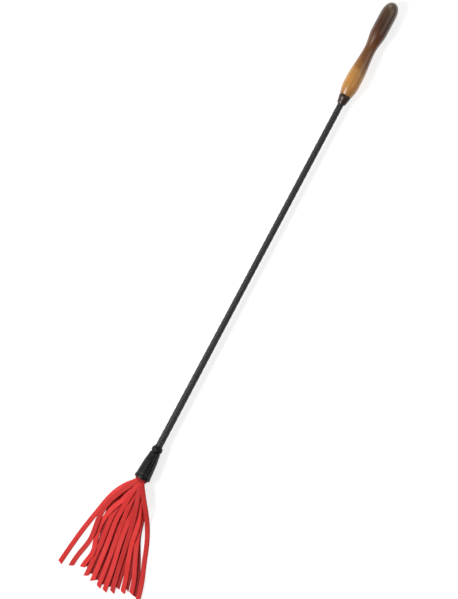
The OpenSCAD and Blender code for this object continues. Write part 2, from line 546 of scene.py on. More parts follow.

# %% [markdown]
# ## The wooden grip
#
# The grip is turned on a lathe from one piece of hardwood. It has a rounded pommel, a waist
# for the fingers and a second swelling that fills the palm. The stain is nearly black-brown
# at the pommel and fades to honey near the collar, under a satin lacquer. At the pommel's
# very end the colour turns a lighter greyish brown, which is a painted highlight of the gloss.
#
# The fade could be painted on as an image. A colour ramp along the stick needs no image, and
# it stays sharp close up. The wood's broad figure pushes the ramp about a little, because
# real stain soaks in unevenly.

# %% Wood material
def ramp(tree, factor, stops, interpolation="EASE"):
    """A colour ramp with (position, colour) stops. Returns its colour output."""
    made = node(tree, "ShaderNodeValToRGB")
    made.color_ramp.interpolation = interpolation
    while len(made.color_ramp.elements) < len(stops):
        made.color_ramp.elements.new(0.5)
    for element, (place, colour) in zip(made.color_ramp.elements, stops):
        element.position = place
        element.color = colour
    link(tree, factor, made.inputs["Fac"])
    return made.outputs["Color"]


# How far the figure pushes the stain about, and how much the rings and pores darken it.
STAIN_UNEVEN = 0.34
RING_STRENGTH = 0.42
PORES_FROM = 0.6
PORE_STRENGTH = 0.35


def wood_material():
    """Hardwood stained from dark at the pommel to honey at the collar, with a painted highlight on
    the pommel's end, and a clear coat.
    """
    material, tree, shader = new_material("stained turned wood")
    place = node(tree, "ShaderNodeTexCoord")
    figure = use_group(tree, wood_figure)
    link(tree, place.outputs["Object"], figure.inputs["Vector"])
    apart = node(tree, "ShaderNodeSeparateXYZ")
    link(tree, place.outputs["Object"], apart.inputs[0])
    # 0 at the pommel's end and 1 at the collar, pushed about a little by the figure.
    down = maths(tree, "SUBTRACT", pommel_x, apart.outputs["X"])
    down = maths(tree, "DIVIDE", down, grip_length)
    uneven = maths(tree, "SUBTRACT", figure.outputs["Figure"], 0.5)
    uneven = maths(tree, "MULTIPLY", uneven, STAIN_UNEVEN)
    down = maths(tree, "ADD", down, uneven, clamp=True)
    # The first stop, a light greyish brown at the pommel's end, is a painted highlight of the
    # lacquer's gloss. The other stops are the stain.
    stain = ramp(tree, down, [
        (0.0, srgb(112, 96, 72)), (0.1, srgb(88, 62, 38)), (0.2, srgb(78, 43, 16)),
        (0.32, srgb(98, 52, 16)), (0.46, srgb(118, 68, 24)), (0.58, srgb(132, 82, 36)),
        (0.66, srgb(164, 108, 46)), (0.74, srgb(204, 146, 76)), (0.86, srgb(216, 150, 68)),
        (1.0, srgb(184, 128, 66))])
    dark = mix_colour(tree, 0.62, stain, srgb(48, 24, 12), "MULTIPLY")
    ring_mask = maths(tree, "MULTIPLY", figure.outputs["Rings"], RING_STRENGTH)
    colour = mix_colour(tree, ring_mask, stain, dark)
    pore_mask = maths(tree, "GREATER_THAN", figure.outputs["Pores"], PORES_FROM)
    pore_mask = maths(tree, "MULTIPLY", pore_mask, PORE_STRENGTH)
    colour = mix_colour(tree, pore_mask, colour, srgb(52, 30, 18))
    link(tree, colour, shader.inputs["Base Color"])
    rough = maths(tree, "ADD", maths(tree, "MULTIPLY", figure.outputs["Figure"], 0.2), 0.32)
    link(tree, rough, shader.inputs["Roughness"])
    shader.inputs["Coat Weight"].default_value = 0.6
    shader.inputs["Coat Roughness"].default_value = 0.24
    shader.inputs["Coat IOR"].default_value = 1.5
    height = maths(tree, "ADD", maths(tree, "MULTIPLY", figure.outputs["Rings"], 0.5),
                   maths(tree, "MULTIPLY", figure.outputs["Pores"], -0.5))
    add_bump(tree, shader, height, 0.00006, 0.6)
    return material


wood = wood_material()
print("wood material with", len(wood.node_tree.nodes), "nodes")


# %% The grip's outline
WAIST = 57 * MM
WAIST_R = 6.5 * MM
DOME = 19 * MM
POMMEL_LAND_END = 35 * MM
LOWER_BELLY = (92 * MM, 100 * MM)
GRIP_END_R = 7.0 * MM


def eased(a, b, t):
    """Goes from a to b with a gentle start and a gentle end."""
    t = min(max(t, 0), 1)
    return a + (b - a) * (1 - cos(pi * t)) / 2


def grip_radius(s):
    """The turner's outline: a dome, a land, a waist, a belly and a narrower end."""
    if s < DOME:
        return belly_r * sqrt(max(0.0, 1 - (1 - s / DOME) ** 3))
    if s < POMMEL_LAND_END:
        return belly_r
    if s < WAIST:
        return eased(belly_r, WAIST_R, (s - POMMEL_LAND_END) / (WAIST - POMMEL_LAND_END))
    if s < LOWER_BELLY[0]:
        return eased(WAIST_R, belly_r, (s - WAIST) / (LOWER_BELLY[0] - WAIST))
    if s < LOWER_BELLY[1]:
        return belly_r
    t = (s - LOWER_BELLY[1]) / (grip_length - LOWER_BELLY[1])
    return GRIP_END_R + (belly_r - GRIP_END_R) * cos(t * pi / 2)


print("grip %.1f mm thick at the waist and %.1f mm at the collar"
      % (2 * grip_radius(WAIST) / MM, 2 * grip_radius(grip_length) / MM))


# %% Grip
MARK_HEIGHT = 0.004 * MM
MARKS_START = 4 * MM
# The outline stays this far inside the measured one, to leave room for the marks.
INSET = 0.02 * MM
DOME_STEPS = 24
BODY_STEPS = 260


def tool_marks(s):
    """The faint ridges that a gouge leaves, a few thousandths of a millimetre high."""
    fine = sin(tau * s / (2.1 * MM))
    broad = sin(tau * s / (4.7 * MM) + 1.3)
    return MARK_HEIGHT * (fine + broad)


def make_grip():
    """Close rings on the dome, where the outline turns fastest, and even ones below it."""
    dome = [DOME * (1 - cos(pi / 2 * i / DOME_STEPS)) for i in range(DOME_STEPS)]
    body = [DOME + (grip_length - DOME) * i / BODY_STEPS for i in range(BODY_STEPS + 1)]
    outline = []
    for s in dome + body:
        marks = tool_marks(s) if s > MARKS_START else 0.0
        outline.append((s, max(0.0, grip_radius(s) - INSET + marks)))
    # The end face runs in to the hole for the shaft.
    outline.append((grip_length, COVER_R + 0.2 * MM))
    grip = lathe("turned_grip", outline, segments=128)
    finish_piece(grip, wood, "stick", ["grip"])


make_grip()
print("grip %.1f mm long, %.1f mm across" % (grip_length / MM, 2 * belly_r / MM))

# %% [markdown]
# ## The collar
#
# A short dark collar covers the joint between wood and shaft. On the real object it is a
# turned ring with a bead at each end, stained almost black. It could be cut from the grip
# itself, but as a piece of its own it can have a finish of its own. The same lathe makes it.

# %% The collar's material
def collar_material():
    """The grip's wood with a stain that hides most of its figure."""
    material, tree, shader = new_material("dark collar")
    place = node(tree, "ShaderNodeTexCoord")
    figure = use_group(tree, wood_figure)
    link(tree, place.outputs["Object"], figure.inputs["Vector"])
    colour = mix_colour(tree, figure.outputs["Figure"], srgb(38, 24, 16), srgb(74, 48, 30))
    link(tree, colour, shader.inputs["Base Color"])
    rough = maths(tree, "ADD", maths(tree, "MULTIPLY", figure.outputs["Pores"], 0.25), 0.25)
    link(tree, rough, shader.inputs["Roughness"])
    add_bump(tree, shader, figure.outputs["Rings"], 0.00004, 0.5)
    return material


collar_lacquer = collar_material()
print("collar material with", len(collar_lacquer.node_tree.nodes), "nodes")

# %% Collar
# Places along the collar go from 0 at the grip to 1 at the shaft.
COLLAR_END_R = 4.7 * MM
COLLAR_INSET = 0.25 * MM
TAPER_FROM = 0.35
BIG_BEAD = 0.22 * MM
BIG_BEAD_END = 0.4
SMALL_BEAD = 0.18 * MM
SMALL_BEAD_START = 0.62
COLLAR_STEPS = 40


def collar_radius(t, big):
    """Straight and then tapered, with a bead on each of the two stretches."""
    r = big + (COLLAR_END_R - big) * max(0.0, t - TAPER_FROM) / (1 - TAPER_FROM)
    if t < BIG_BEAD_END:
        r += BIG_BEAD * sin(pi * t / BIG_BEAD_END)
    if t > SMALL_BEAD_START:
        r += SMALL_BEAD * sin(pi * (t - SMALL_BEAD_START) / (1 - SMALL_BEAD_START))
    return r - COLLAR_INSET


def make_collar():
    """Turns the collar, with a square edge against the grip. Returns its length."""
    start = along(collar_high.x)
    length = collar_high.x - collar_low.x
    big = (collar_high.z - collar_low.z) / 2
    outline = [(start, COVER_R), (start, big - 0.5 * MM)]
    for i in range(COLLAR_STEPS + 1):
        t = i / COLLAR_STEPS
        outline.append((start + length * t, collar_radius(t, big)))
    outline.append((start + length, COVER_R))
    collar = lathe("turned_collar", outline, segments=96)
    finish_piece(collar, collar_lacquer, "stick", ["grip_collar"])
    return length


print("collar %.1f mm long" % (make_collar() / MM))

# %% [markdown]
# ## The braided shaft
#
# The springy rod wears a tube of black braid, such as a maker pulls over it and heat sets.
# Sixteen flat strands run round it, half of them each way, and each goes over two and under
# two of the others. A bump pattern on a plain tube would be lighter to draw, but its outline
# would stay smooth. Real strands give the shaft its fine diamond glitter from any side.

# %% Yarn material
def yarn_material(name, dark, light, smoothest):
    """Twisted yarn. Its roughness goes up from the smoothest value where there is lint."""
    material, tree, shader = new_material(name)
    uv = node(tree, "ShaderNodeUVMap")
    uv.uv_map = "surface"
    fibres = use_group(tree, yarn_fibres)
    link(tree, uv.outputs[0], fibres.inputs["UV"])
    mask = maths(tree, "MULTIPLY", fibres.outputs["Height"], fibres.outputs["Lint"])
    mask = maths(tree, "MULTIPLY", mask, 2.4, clamp=True)
    link(tree, mix_colour(tree, mask, dark, light), shader.inputs["Base Color"])
    rough = maths(tree, "ADD", maths(tree, "MULTIPLY", fibres.outputs["Lint"], 0.3), smoothest)
    link(tree, rough, shader.inputs["Roughness"])
    shader.inputs["Sheen Weight"].default_value = 0.35
    shader.inputs["Sheen Roughness"].default_value = 0.4
    add_bump(tree, shader, fibres.outputs["Height"], 0.00008, 0.8)
    return material


black_braid = yarn_material("black braid", srgb(14, 13, 15), srgb(52, 50, 52), 0.34)
print("yarn material with", len(black_braid.node_tree.nodes), "nodes")

# %% One strand
STRANDS_EACH_WAY = 8
BRAID_PITCH = 17 * MM
STRAND_WIDTH = 1.62 * MM
STRAND_THICK = 0.42 * MM
STEPS_PER_TURN = 64
# A strand's middle runs this far under the shaft's surface, and moves this much in and out.
STRAND_INSET = 0.3 * MM
WEAVE_DEPTH = 0.13 * MM
# Above 1, a strand stays flat while it crosses others and dives quickly between them.
WEAVE_FLATNESS = 1.6


def strand(turn_way, first_angle, s_from, s_to, phase):
    """One strand of a braid around the stick, weaving in and out as it goes round."""
    turns = (s_to - s_from) / BRAID_PITCH
    count = int(turns * STEPS_PER_TURN) + 1
    path, sides, ups = [], [], []
    for i in range(count + 1):
        t = i / count
        turn = turns * t
        angle = first_angle + turn_way * tau * turn
        # Four times in and out in each turn takes it over two and under two.
        weave = WEAVE_FLATNESS * sin(turn * STRANDS_EACH_WAY * pi + phase)
        s = s_from + (s_to - s_from) * t
        radius = cover_radius(s) - STRAND_INSET
        r = radius + WEAVE_DEPTH * max(-1.0, min(1.0, weave))
        path.append(on_stick(s, r, angle))
        ups.append(Vector((0, cos(angle), sin(angle))))
        slope = turn_way * tau * radius / BRAID_PITCH
        tangent = Vector((-1, -slope * sin(angle), slope * cos(angle))).normalized()
        sides.append(tangent.cross(ups[-1]).normalized())
    flat = oval(STRAND_WIDTH, STRAND_THICK, 8)
    return sweep(path, sides, ups, lambda t: flat)


print("a strand goes round %.0f times" % ((along(knot_high.x) - along(collar_low.x)) / BRAID_PITCH))

# %% Braid
# The braid runs this far into the collar and the knot, so no gap shows.
BRAID_TUCKED_IN = 1.5 * MM
CORE_INSET = 0.42 * MM
# In radians, how far the strands of the other way are turned from the first ones.
OTHER_WAY_ANGLE = 0.2


def make_shaft():
    """A plain dark tube, and the strands that are braided around it."""
    start = along(collar_low.x) - BRAID_TUCKED_IN
    end = along(knot_high.x) + BRAID_TUCKED_IN
    stations = [start, COVER_TAPER_START, end]
    core = lathe("braid_core", [(s, cover_radius(s) - CORE_INSET) for s in stations], segments=48)
    finish_piece(core, black_braid, "stick")
    strands = []
    for k in range(STRANDS_EACH_WAY):
        angle = tau * k / STRANDS_EACH_WAY
        phase = pi * k / 2
        strands.append(strand(1, angle, start, end, phase))
        strands.append(strand(-1, angle + OTHER_WAY_ANGLE, start, end, phase + pi))
    braid = joined("shaft_braid", strands)
    return finish_piece(braid, black_braid, "stick", ["braided_cover"])


braid = make_shaft()
print("braid of", 2 * STRANDS_EACH_WAY, "strands with", len(braid.data.vertices), "vertices")

# %% [markdown]
# ## The keeper
#
# The keeper is the flared leather sleeve that hides where the tassel is tied on. Its narrow
# end starts with a woven knot, a leather thong laced round the shaft. The sleeve is one piece
# of thin black leather, closed by a seam and finished with a rolled band at the mouth.
#
# The sleeve could be one cone with everything drawn on it as bumps. Knot, sleeve, band and
# stitches are pieces of their own instead, because each casts a small shadow on the next,
# and that is what tells the eye that something is sewn.

# %% Black leather
def black_leather_material():
    """Smooth dyed leather that is shinier in some patches than in others."""
    material, tree, shader = new_material("black leather")
    place = node(tree, "ShaderNodeTexCoord")
    surface = use_group(tree, leather_surface, Scale=0.8)
    link(tree, place.outputs["Object"], surface.inputs["Vector"])
    colour = mix_colour(tree, surface.outputs["Patches"], srgb(6, 5, 5), srgb(17, 14, 15))
    link(tree, colour, shader.inputs["Base Color"])
    rough = maths(tree, "ADD", maths(tree, "MULTIPLY", surface.outputs["Patches"], 0.3), 0.3)
    link(tree, rough, shader.inputs["Roughness"])
    shader.inputs["Specular IOR Level"].default_value = 0.3
    add_bump(tree, shader, surface.outputs["Height"], 0.00012, 0.7)
    return material


black_leather = black_leather_material()
print("black leather with", len(black_leather.node_tree.nodes), "nodes")

# %% The knot's core
KNOT_CORE_STEPS = 24
# The barrel's ends stand this far above the shaft, and its middle this far under the thongs.
KNOT_END_RISE = 0.5 * MM
KNOT_CORE_INSET = 1.0 * MM
# The core goes this far into the sleeve, so that no gap shows between them.
KNOT_TUCKED_IN = 0.3 * MM
knot_r = (knot_high.z - knot_low.z) / 2
knot_start = along(knot_high.x)
knot_end = along(knot_low.x) + KNOT_TUCKED_IN


def make_knot_core():
    """The barrel that fills the knot under its thongs."""
    low_r = cover_end_r + KNOT_END_RISE
    high_r = knot_r - KNOT_CORE_INSET
    outline = []
    for i in range(KNOT_CORE_STEPS + 1):
        t = i / KNOT_CORE_STEPS
        swell = sqrt(sin(pi * t)) if 0 < t < 1 else 0.0
        outline.append((knot_start + (knot_end - knot_start) * t, low_r + (high_r - low_r) * swell))
    outline.append((knot_end, cover_end_r))
    core = lathe("keeper_knot_core", outline, segments=64)
    finish_piece(core, black_leather, "stick")


make_knot_core()
print("knot core %.1f mm long" % ((knot_end - knot_start) / MM))

# %% The knot's thongs
THONGS = 3
THONG_WIDTH = 2.5 * MM
THONG_THICK = 1.0 * MM
THONG_ROUNDS = 2
THONG_STEPS = 200
# The thongs' middle lines stay this far from the knot's two ends.
THONG_END_GAP = 1.0 * MM
# In radians, how far each thong starts round the knot from the one before.
THONG_TURNED = 0.7
# How far a thong rises where it crosses another, and sinks towards the knot's two ends.
THONG_RISE = 0.32 * MM
THONG_SINK = 0.7 * MM


def thong_path(k):
    """Thong k goes round twice, and from side to side three times."""
    middle = along((knot_low.x + knot_high.x) / 2)
    reach = (knot_high.x - knot_low.x) / 2 - THONG_END_GAP
    path, ups = [], []
    for i in range(THONG_STEPS + 1):
        angle = THONG_ROUNDS * tau * i / THONG_STEPS
        wave = sin(angle * 1.5 + tau * k / THONGS)
        crossing = cos(angle * 3 + tau * 2 * k / THONGS)
        r = knot_r - THONG_THICK * 0.95 + THONG_RISE * crossing - THONG_SINK * abs(wave) ** 3
        around = angle + THONG_TURNED * k
        path.append(on_stick(middle + reach * wave, r, around))
        ups.append(Vector((0, cos(around), sin(around))))
    return path, ups


def make_knot():
    """Three thongs, woven round the core."""
    flat = oval(THONG_WIDTH, THONG_THICK, 10)
    parts = []
    for k in range(THONGS):
        path, ups = thong_path(k)
        sides = []
        for i in range(THONG_STEPS + 1):
            ahead = path[min(i + 1, THONG_STEPS)] - path[max(i - 1, 0)]
            sides.append(ahead.cross(ups[i]).normalized())
        parts.append(sweep(path, sides, ups, lambda t: flat))
    knot = joined("keeper_woven_knot", parts)
    finish_piece(knot, black_leather, "stick", ["keeper_knot"])


make_knot()
print("knot of", THONGS, "thongs, %.1f mm across" % (2 * knot_r / MM))

# %% Keeper sleeve
KEEPER_SMALL_R = 5.8 * MM
# Inside, the mouth is a straight bore that narrows towards the tie.
MOUTH_R = 7.9 * MM
MOUTH_DEPTH = 9 * MM
TIE_R = 5.4 * MM
TIE_DEPTH = 17 * MM
CREASE = 0.09 * MM
# The outline stays this far inside the measured one, to leave room for the creases.
SLEEVE_INSET = 0.12 * MM
SLEEVE_STEPS = 60
sleeve_start = along(keeper_high.x)
mouth = along(keeper_low.x)
rim_start = along(rim_high.x)


def keeper_radius(t):
    """The flare, from 0 at the knot to 1 at the rim. It is quick at first and ends straight."""
    return KEEPER_SMALL_R + (keeper_r - KEEPER_SMALL_R) * sin(pi / 2 * t)


def make_sleeve():
    """The flared leather, with shallow creases and a hollow mouth."""
    # At the knot the sleeve closes onto the shaft.
    outline = [(sleeve_start, cover_end_r + 0.1 * MM),
               (sleeve_start, keeper_radius(0) - 0.5 * MM)]
    for i in range(SLEEVE_STEPS + 1):
        t = i / SLEEVE_STEPS
        s = sleeve_start + 0.2 * MM + (rim_start - sleeve_start) * t
        crease = CREASE * sin(17 * t + 2 * sin(5 * t))
        outline.append((s, keeper_radius(t) - SLEEVE_INSET + crease))
    # At the mouth the edge is rounded off a little before it turns inwards.
    outline.append((mouth - 0.3 * MM, keeper_r - 0.1 * MM))
    outline.append((mouth, keeper_r - 0.25 * MM))
    outline += [(mouth, MOUTH_R), (mouth - MOUTH_DEPTH, MOUTH_R)]
    outline += [(mouth - TIE_DEPTH, TIE_R), (mouth - TIE_DEPTH, cover_end_r)]
    sleeve = lathe("keeper_sleeve", outline, segments=96, wobble=0.008)
    finish_piece(sleeve, black_leather, "stick", ["keeper"])


make_sleeve()
print("sleeve %.1f mm long, %.1f mm across at the mouth"
      % ((mouth - sleeve_start) / MM, 2 * keeper_r / MM))

# %% Rolled rim
RIM_STEPS = 32


def make_rim():
    """A half-round band of leather, rolled over the sleeve's edge."""
    length = rim_high.x - rim_low.x
    rim_r = (rim_high.z - rim_low.z) / 2
    foot_r = keeper_r - 0.1 * MM
    outline = [(rim_start, keeper_r - 0.2 * MM)]
    for i in range(RIM_STEPS + 1):
        a = pi * i / RIM_STEPS
        s = rim_start + length / 2 * (1 - cos(a))
        outline.append((s, foot_r + (rim_r - foot_r) * sin(a)))
    outline.append((rim_start + length, keeper_r - 0.3 * MM))
    rim = lathe("keeper_rolled_rim", outline, segments=96)
    finish_piece(rim, black_leather, "stick", ["keeper_rim"])
    return length


print("rim %.1f mm wide" % (make_rim() / MM))

# %% One stitch
THREAD_THICK = 0.42 * MM
STITCH_STEPS = 8
# A stitch's two ends dive this far, into the holes that the awl made.
STITCH_SINK = 0.28 * MM


def stitch(s, angle, length, around, radius):
    """One stitch on the sleeve, lying along the stick or, if asked, around it."""
    path, sides, ups = [], [], []
    for i in range(STITCH_STEPS + 1):
        t = i / STITCH_STEPS - 0.5
        a = angle + (t * length / radius if around else 0)
        at = s + (0 if around else t * length)
        sink = STITCH_SINK * (2 * t) ** 4
        path.append(on_stick(at, radius + 0.5 * THREAD_THICK - sink, a))
        ups.append(Vector((0, cos(a), sin(a))))
        ahead = Vector((0, -sin(a), cos(a))) if around else Vector((-1, 0, 0))
        sides.append(ahead.cross(ups[-1]))
    section = oval(THREAD_THICK, THREAD_THICK, 8)
    return sweep(path, sides, ups, lambda t: section)


print("thread %.2f mm thick" % (THREAD_THICK / MM))

# %% Stitching
SEAM_STITCHES = 9
SEAM_STITCH_LENGTH = 1.9 * MM
SEAM_ANGLE = radians(118)
# In radians, how far each row of stitches lies from the seam between them.
SEAM_HALF_GAP = 0.17
RIM_STITCHES = 22
RIM_STITCH_LENGTH = 1.5 * MM
RIM_STITCH_BACK = 1.0 * MM
STITCH_INSET = 0.1 * MM


def make_stitching():
    """Two rows down the seam, and one row around the sleeve beside the rim."""
    parts = []
    for i in range(SEAM_STITCHES):
        t = (i + 0.8) / SEAM_STITCHES
        s = sleeve_start + (rim_start - sleeve_start) * t
        r = keeper_radius(t) - STITCH_INSET
        for side in (-1, 1):
            angle = SEAM_ANGLE + side * SEAM_HALF_GAP
            parts.append(stitch(s, angle, SEAM_STITCH_LENGTH, False, r))
    r = keeper_radius(0.97) - STITCH_INSET
    for k in range(RIM_STITCHES):
        angle = tau * k / RIM_STITCHES
        parts.append(stitch(rim_start - RIM_STITCH_BACK, angle, RIM_STITCH_LENGTH, True, r))
    thread = yarn_material("waxed thread", srgb(30, 26, 26), srgb(88, 80, 76), 0.35)
    stitches = joined("keeper_stitching", parts)
    finish_piece(stitches, thread, "stick")
    return len(parts)


print("keeper sewn with", make_stitching(), "stitches")

# %% [markdown]
# ## The rod and its cap
#
# A thin fibreglass rod runs inside the shaft, and a small brass cap keeps its end from
# cutting through the keeper. Neither can be seen. They could be left out, but the measured
# model has them, so they keep its shapes and only get materials of their own.

# %% Rod and cap
def rod_material():
    """Glass fibres in clear resin, drawn out along the rod."""
    material, tree, shader = new_material("fibreglass rod")
    place = node(tree, "ShaderNodeTexCoord")
    squeeze = node(tree, "ShaderNodeMapping")
    squeeze.inputs["Scale"].default_value = (0.04, 1, 1)
    link(tree, place.outputs["Object"], squeeze.inputs["Vector"])
    fibres = node(tree, "ShaderNodeTexNoise", in__Scale=3000.0, in__Detail=2.0)
    link(tree, squeeze.outputs[0], fibres.inputs["Vector"])
    colour = mix_colour(tree, fibres.outputs[0], srgb(206, 202, 180), srgb(232, 228, 210))
    link(tree, colour, shader.inputs["Base Color"])
    shader.inputs["Roughness"].default_value = 0.35
    add_bump(tree, shader, fibres.outputs[0], 0.00003, 0.5)
    return material


def cap_material():
    """Pressed brass with slightly dull patches."""
    material, tree, shader = new_material("pressed brass")
    place = node(tree, "ShaderNodeTexCoord")
    noise = node(tree, "ShaderNodeTexNoise", in__Scale=900.0, in__Detail=4.0)
    link(tree, place.outputs["Object"], noise.inputs["Vector"])
    colour = mix_colour(tree, noise.outputs[0], srgb(170, 132, 62), srgb(206, 172, 96))
    link(tree, colour, shader.inputs["Base Color"])
    shader.inputs["Metallic"].default_value = 1.0
    rough = maths(tree, "ADD", maths(tree, "MULTIPLY", noise.outputs[0], 0.3), 0.2)
    link(tree, rough, shader.inputs["Roughness"])
    return material


def recoat(name, material):
    """Gives a measured node a new material."""
    made = frame["nodes"][name]
    made.data.materials.clear()
    made.data.materials.append(material)


recoat("core_rod", rod_material())
recoat("rod_end_cap", cap_material())
print("rod and cap have their materials")

# %% [markdown]
# ## The red leather tails
#
# The tassel is cut from thin red suede: flat strips that are gathered by their heads in the
# keeper and fan out over the surface. Each strip bows outwards as it leaves the mouth, drops
# from the stick's height to the surface, and lies over or under its neighbours.
#
# Suede is a brushed surface, so it has almost no gloss. Hair particles could make its nap,
# at a great cost for hairs this short. Fine bumps, darker flecks, streaks along the strip
# and a little sheen give the same impression. A number kept on each strip darkens it. It
# differs at random, because hides never take dye evenly, and it is larger on the lower
# layer of strips, as painted shade under the strips above.

# %% Red leather
TAIL_WIDTH = 5.5 * MM
TAIL_THICK = 1.1 * MM
FLECKS_BELOW = 0.58
FLECK_STRENGTH = 0.55
EDGE_STRENGTH = 0.7


def red_leather_material():
    """Red suede for the strips. The strip's own coordinates tell where its cut edges are."""
    material, tree, shader = new_material("red suede")
    uv = node(tree, "ShaderNodeUVMap")
    uv.uv_map = "surface"
    place = node(tree, "ShaderNodeTexCoord")
    surface = use_group(tree, leather_surface, Scale=1.0)
    link(tree, place.outputs["Object"], surface.inputs["Vector"])
    info = node(tree, "ShaderNodeObjectInfo")
    apart = node(tree, "ShaderNodeSeparateXYZ")
    link(tree, uv.outputs[0], apart.inputs[0])
    # The nap is brushed along the strip, so broad streaks run that way.
    streak_place = node(tree, "ShaderNodeMapping")
    streak_place.inputs["Scale"].default_value = (1.0, 0.12, 1.0)
    link(tree, uv.outputs[0], streak_place.inputs["Vector"])
    streaks = node(tree, "ShaderNodeTexNoise", noise_dimensions="4D", in__Scale=420.0,
                   in__Detail=4.0, in__Roughness=0.6)
    link(tree, streak_place.outputs[0], streaks.inputs["Vector"])
    # Each strip looks up its streaks somewhere else.
    link(tree, maths(tree, "MULTIPLY", info.outputs["Random"], 40.0), streaks.inputs["W"])
    nap = maths(tree, "ADD", maths(tree, "MULTIPLY", streaks.outputs[0], 0.6),
                maths(tree, "MULTIPLY", surface.outputs["Patches"], 0.4))
    colour = mix_colour(tree, nap, srgb(244, 22, 24), srgb(255, 92, 86))
    # Tufts of nap that lie the other way look darker, as fine flecks.
    flecks = maths(tree, "SUBTRACT", FLECKS_BELOW, surface.outputs["Grain"])
    flecks = maths(tree, "MULTIPLY", flecks, 5.0, clamp=True)
    flecks = maths(tree, "MULTIPLY", flecks, FLECK_STRENGTH)
    colour = mix_colour(tree, flecks, colour, srgb(200, 12, 16))
    # The cut edges show the darker, drier core of the leather.
    edge = maths(tree, "DIVIDE", maths(tree, "ABSOLUTE", apart.outputs["X"]), TAIL_WIDTH / 2)
    edge = maths(tree, "POWER", edge, 7.0, clamp=True)
    edge = maths(tree, "MULTIPLY", edge, EDGE_STRENGTH)
    colour = mix_colour(tree, edge, colour, srgb(132, 6, 10))
    # Darkens each strip by its number: uneven dye, plus painted shade on the lower layer of strips.
    dye_and_shade = node(tree, "ShaderNodeAttribute", attribute_name="dye_and_shade").outputs["Fac"]
    colour = mix_colour(tree, dye_and_shade, colour, srgb(112, 6, 12))
    link(tree, colour, shader.inputs["Base Color"])
    rough = maths(tree, "ADD", maths(tree, "MULTIPLY", surface.outputs["Grain"], 0.3), 0.48)
    link(tree, rough, shader.inputs["Roughness"])
    shader.inputs["Specular IOR Level"].default_value = 0.3
    shader.inputs["Sheen Weight"].default_value = 0.2
    shader.inputs["Sheen Roughness"].default_value = 0.5
    shader.inputs["Sheen Tint"].default_value = srgb(255, 120, 110)
    add_bump(tree, shader, surface.outputs["Height"], 0.00022, 0.9)
    return material


red_leather = red_leather_material()
print("red suede with", len(red_leather.node_tree.nodes), "nodes")

# %% [markdown]
# ### Where each tail goes
#
# In plan, a tail starts at its own place in the mouth, bows outwards over the first few
# centimetres and then runs nearly straight. Its heading and reach come from the measured
# tail that it replaces. A little drift keeps the strips from looking ruled.
#
# A cloth simulation would lay the strips down by itself. It would also give a new result
# after every small change, so each strip follows a formula here, with a few listed bends.

# %% Heading and reach of the tails
def heading_and_reach(name):
    """Direction in degrees and reach of a measured tail, seen from the turning point."""
    low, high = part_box(name)
    reach = pivot.x - low.x
    outer = high.y if high.y - pivot.y > pivot.y - low.y else low.y
    lateral = outer - pivot.y
    middle = lateral - TAIL_WIDTH / 2 * (1 if lateral > 0 else -1)
    return atan2(middle, reach) * 180 / pi, reach


print("first tail on top: %.0f degrees, %.3f m" % heading_and_reach("tail_top_1"))

# %% Bends that the strips keep
# Some strips keep a bend from being rolled up, which opens dark gaps in the fan. Each bend
# is (place along the strip, how far it goes to the left, half its length), in millimetres.
BENDS = {
    "tail_top_1": [(48, -1.6, 24)],
    "tail_top_2": [(40, 2.5, 20), (82, -3.8, 18)],
    "tail_top_3": [(20, -5.0, 12), (60, 3.4, 20), (92, -3.2, 12)],
    "tail_under_1": [(40, 6.5, 22), (88, -3.0, 16)],
    "tail_top_4": [(45, 2.5, 22)],
    "tail_top_5": [(50, 1.5, 20)],
    "tail_top_7": [(70, 1.6, 22)],
    "tail_top_9": [(42, -1.8, 15), (104, -2.4, 26)],
    "tail_top_10": [(54, 1.2, 16), (102, -3.6, 24)],
    "tail_top_11": [(60, -3.2, 28), (98, -3.2, 22)],
    "tail_under_7": [(100, -2.0, 24)],
    "tail_under_8": [(54, 3.2, 18), (100, -3.0, 22)]}
print(sum(len(bends) for bends in BENDS.values()), "bends on", len(BENDS), "strips")

# %% Plan of the tails
# Headings are in degrees, and the left is positive.
FAN_MIDDLE = -8.0
FAN_HALF = 23.0
MOUTH_SPREAD = 4.0 * MM
# The left half of the fan bows in step with the heading, soon after the mouth. The right
# half bows with the heading's square, further out.
LEFT_BOW_PER_DEGREE = 0.77 * MM
LEFT_BOW_LESS = 1.0 * MM
LEFT_BOW_LENGTH = 21 * MM
LEFT_BOW_POWER = 1.25
RIGHT_BOW_PER_DEGREE_SQUARED = 0.0149 * MM
RIGHT_BOW_LENGTH = 27 * MM
CLEAR_OF_MOUTH = 12 * MM
# A strip starts this far inside the turning point.
INSIDE = 3.0 * MM
TAIL_STEPS = 80
PLAN_STEP = 0.3 * MM


def plan_offset(u, tail):
    """Sideways place of a tail, u beyond the turning point along the stick's line."""
    heading = tail["heading"]
    tip = tail["reach"] * tan(radians(heading))
    start = MOUTH_SPREAD * (heading - FAN_MIDDLE) / FAN_HALF
    room = tail["mouth_room"]
    start = max(-room, min(room, start))
    u = max(u, 0.0)
    if heading > FAN_MIDDLE:
        bow = LEFT_BOW_PER_DEGREE * (heading - FAN_MIDDLE) - LEFT_BOW_LESS
        settled = 1 - exp(-(u / LEFT_BOW_LENGTH) ** LEFT_BOW_POWER)
    else:
        bow = -RIGHT_BOW_PER_DEGREE_SQUARED * heading ** 2
        settled = 1 - exp(-(u / RIGHT_BOW_LENGTH) ** 2)
    drift = tail["drift"] * sin(u / MM / tail["drift_length"] + tail["drift_phase"]) * settled
    out_of_mouth = 1 - exp(-(u / CLEAR_OF_MOUTH) ** 2)
    for place, amount, spread in tail["bends"]:
        drift += amount * MM * exp(-((u / MM - place) / spread) ** 2) * out_of_mouth
    return start + bow * settled + (tip - start - bow) * u / tail["reach"] + drift


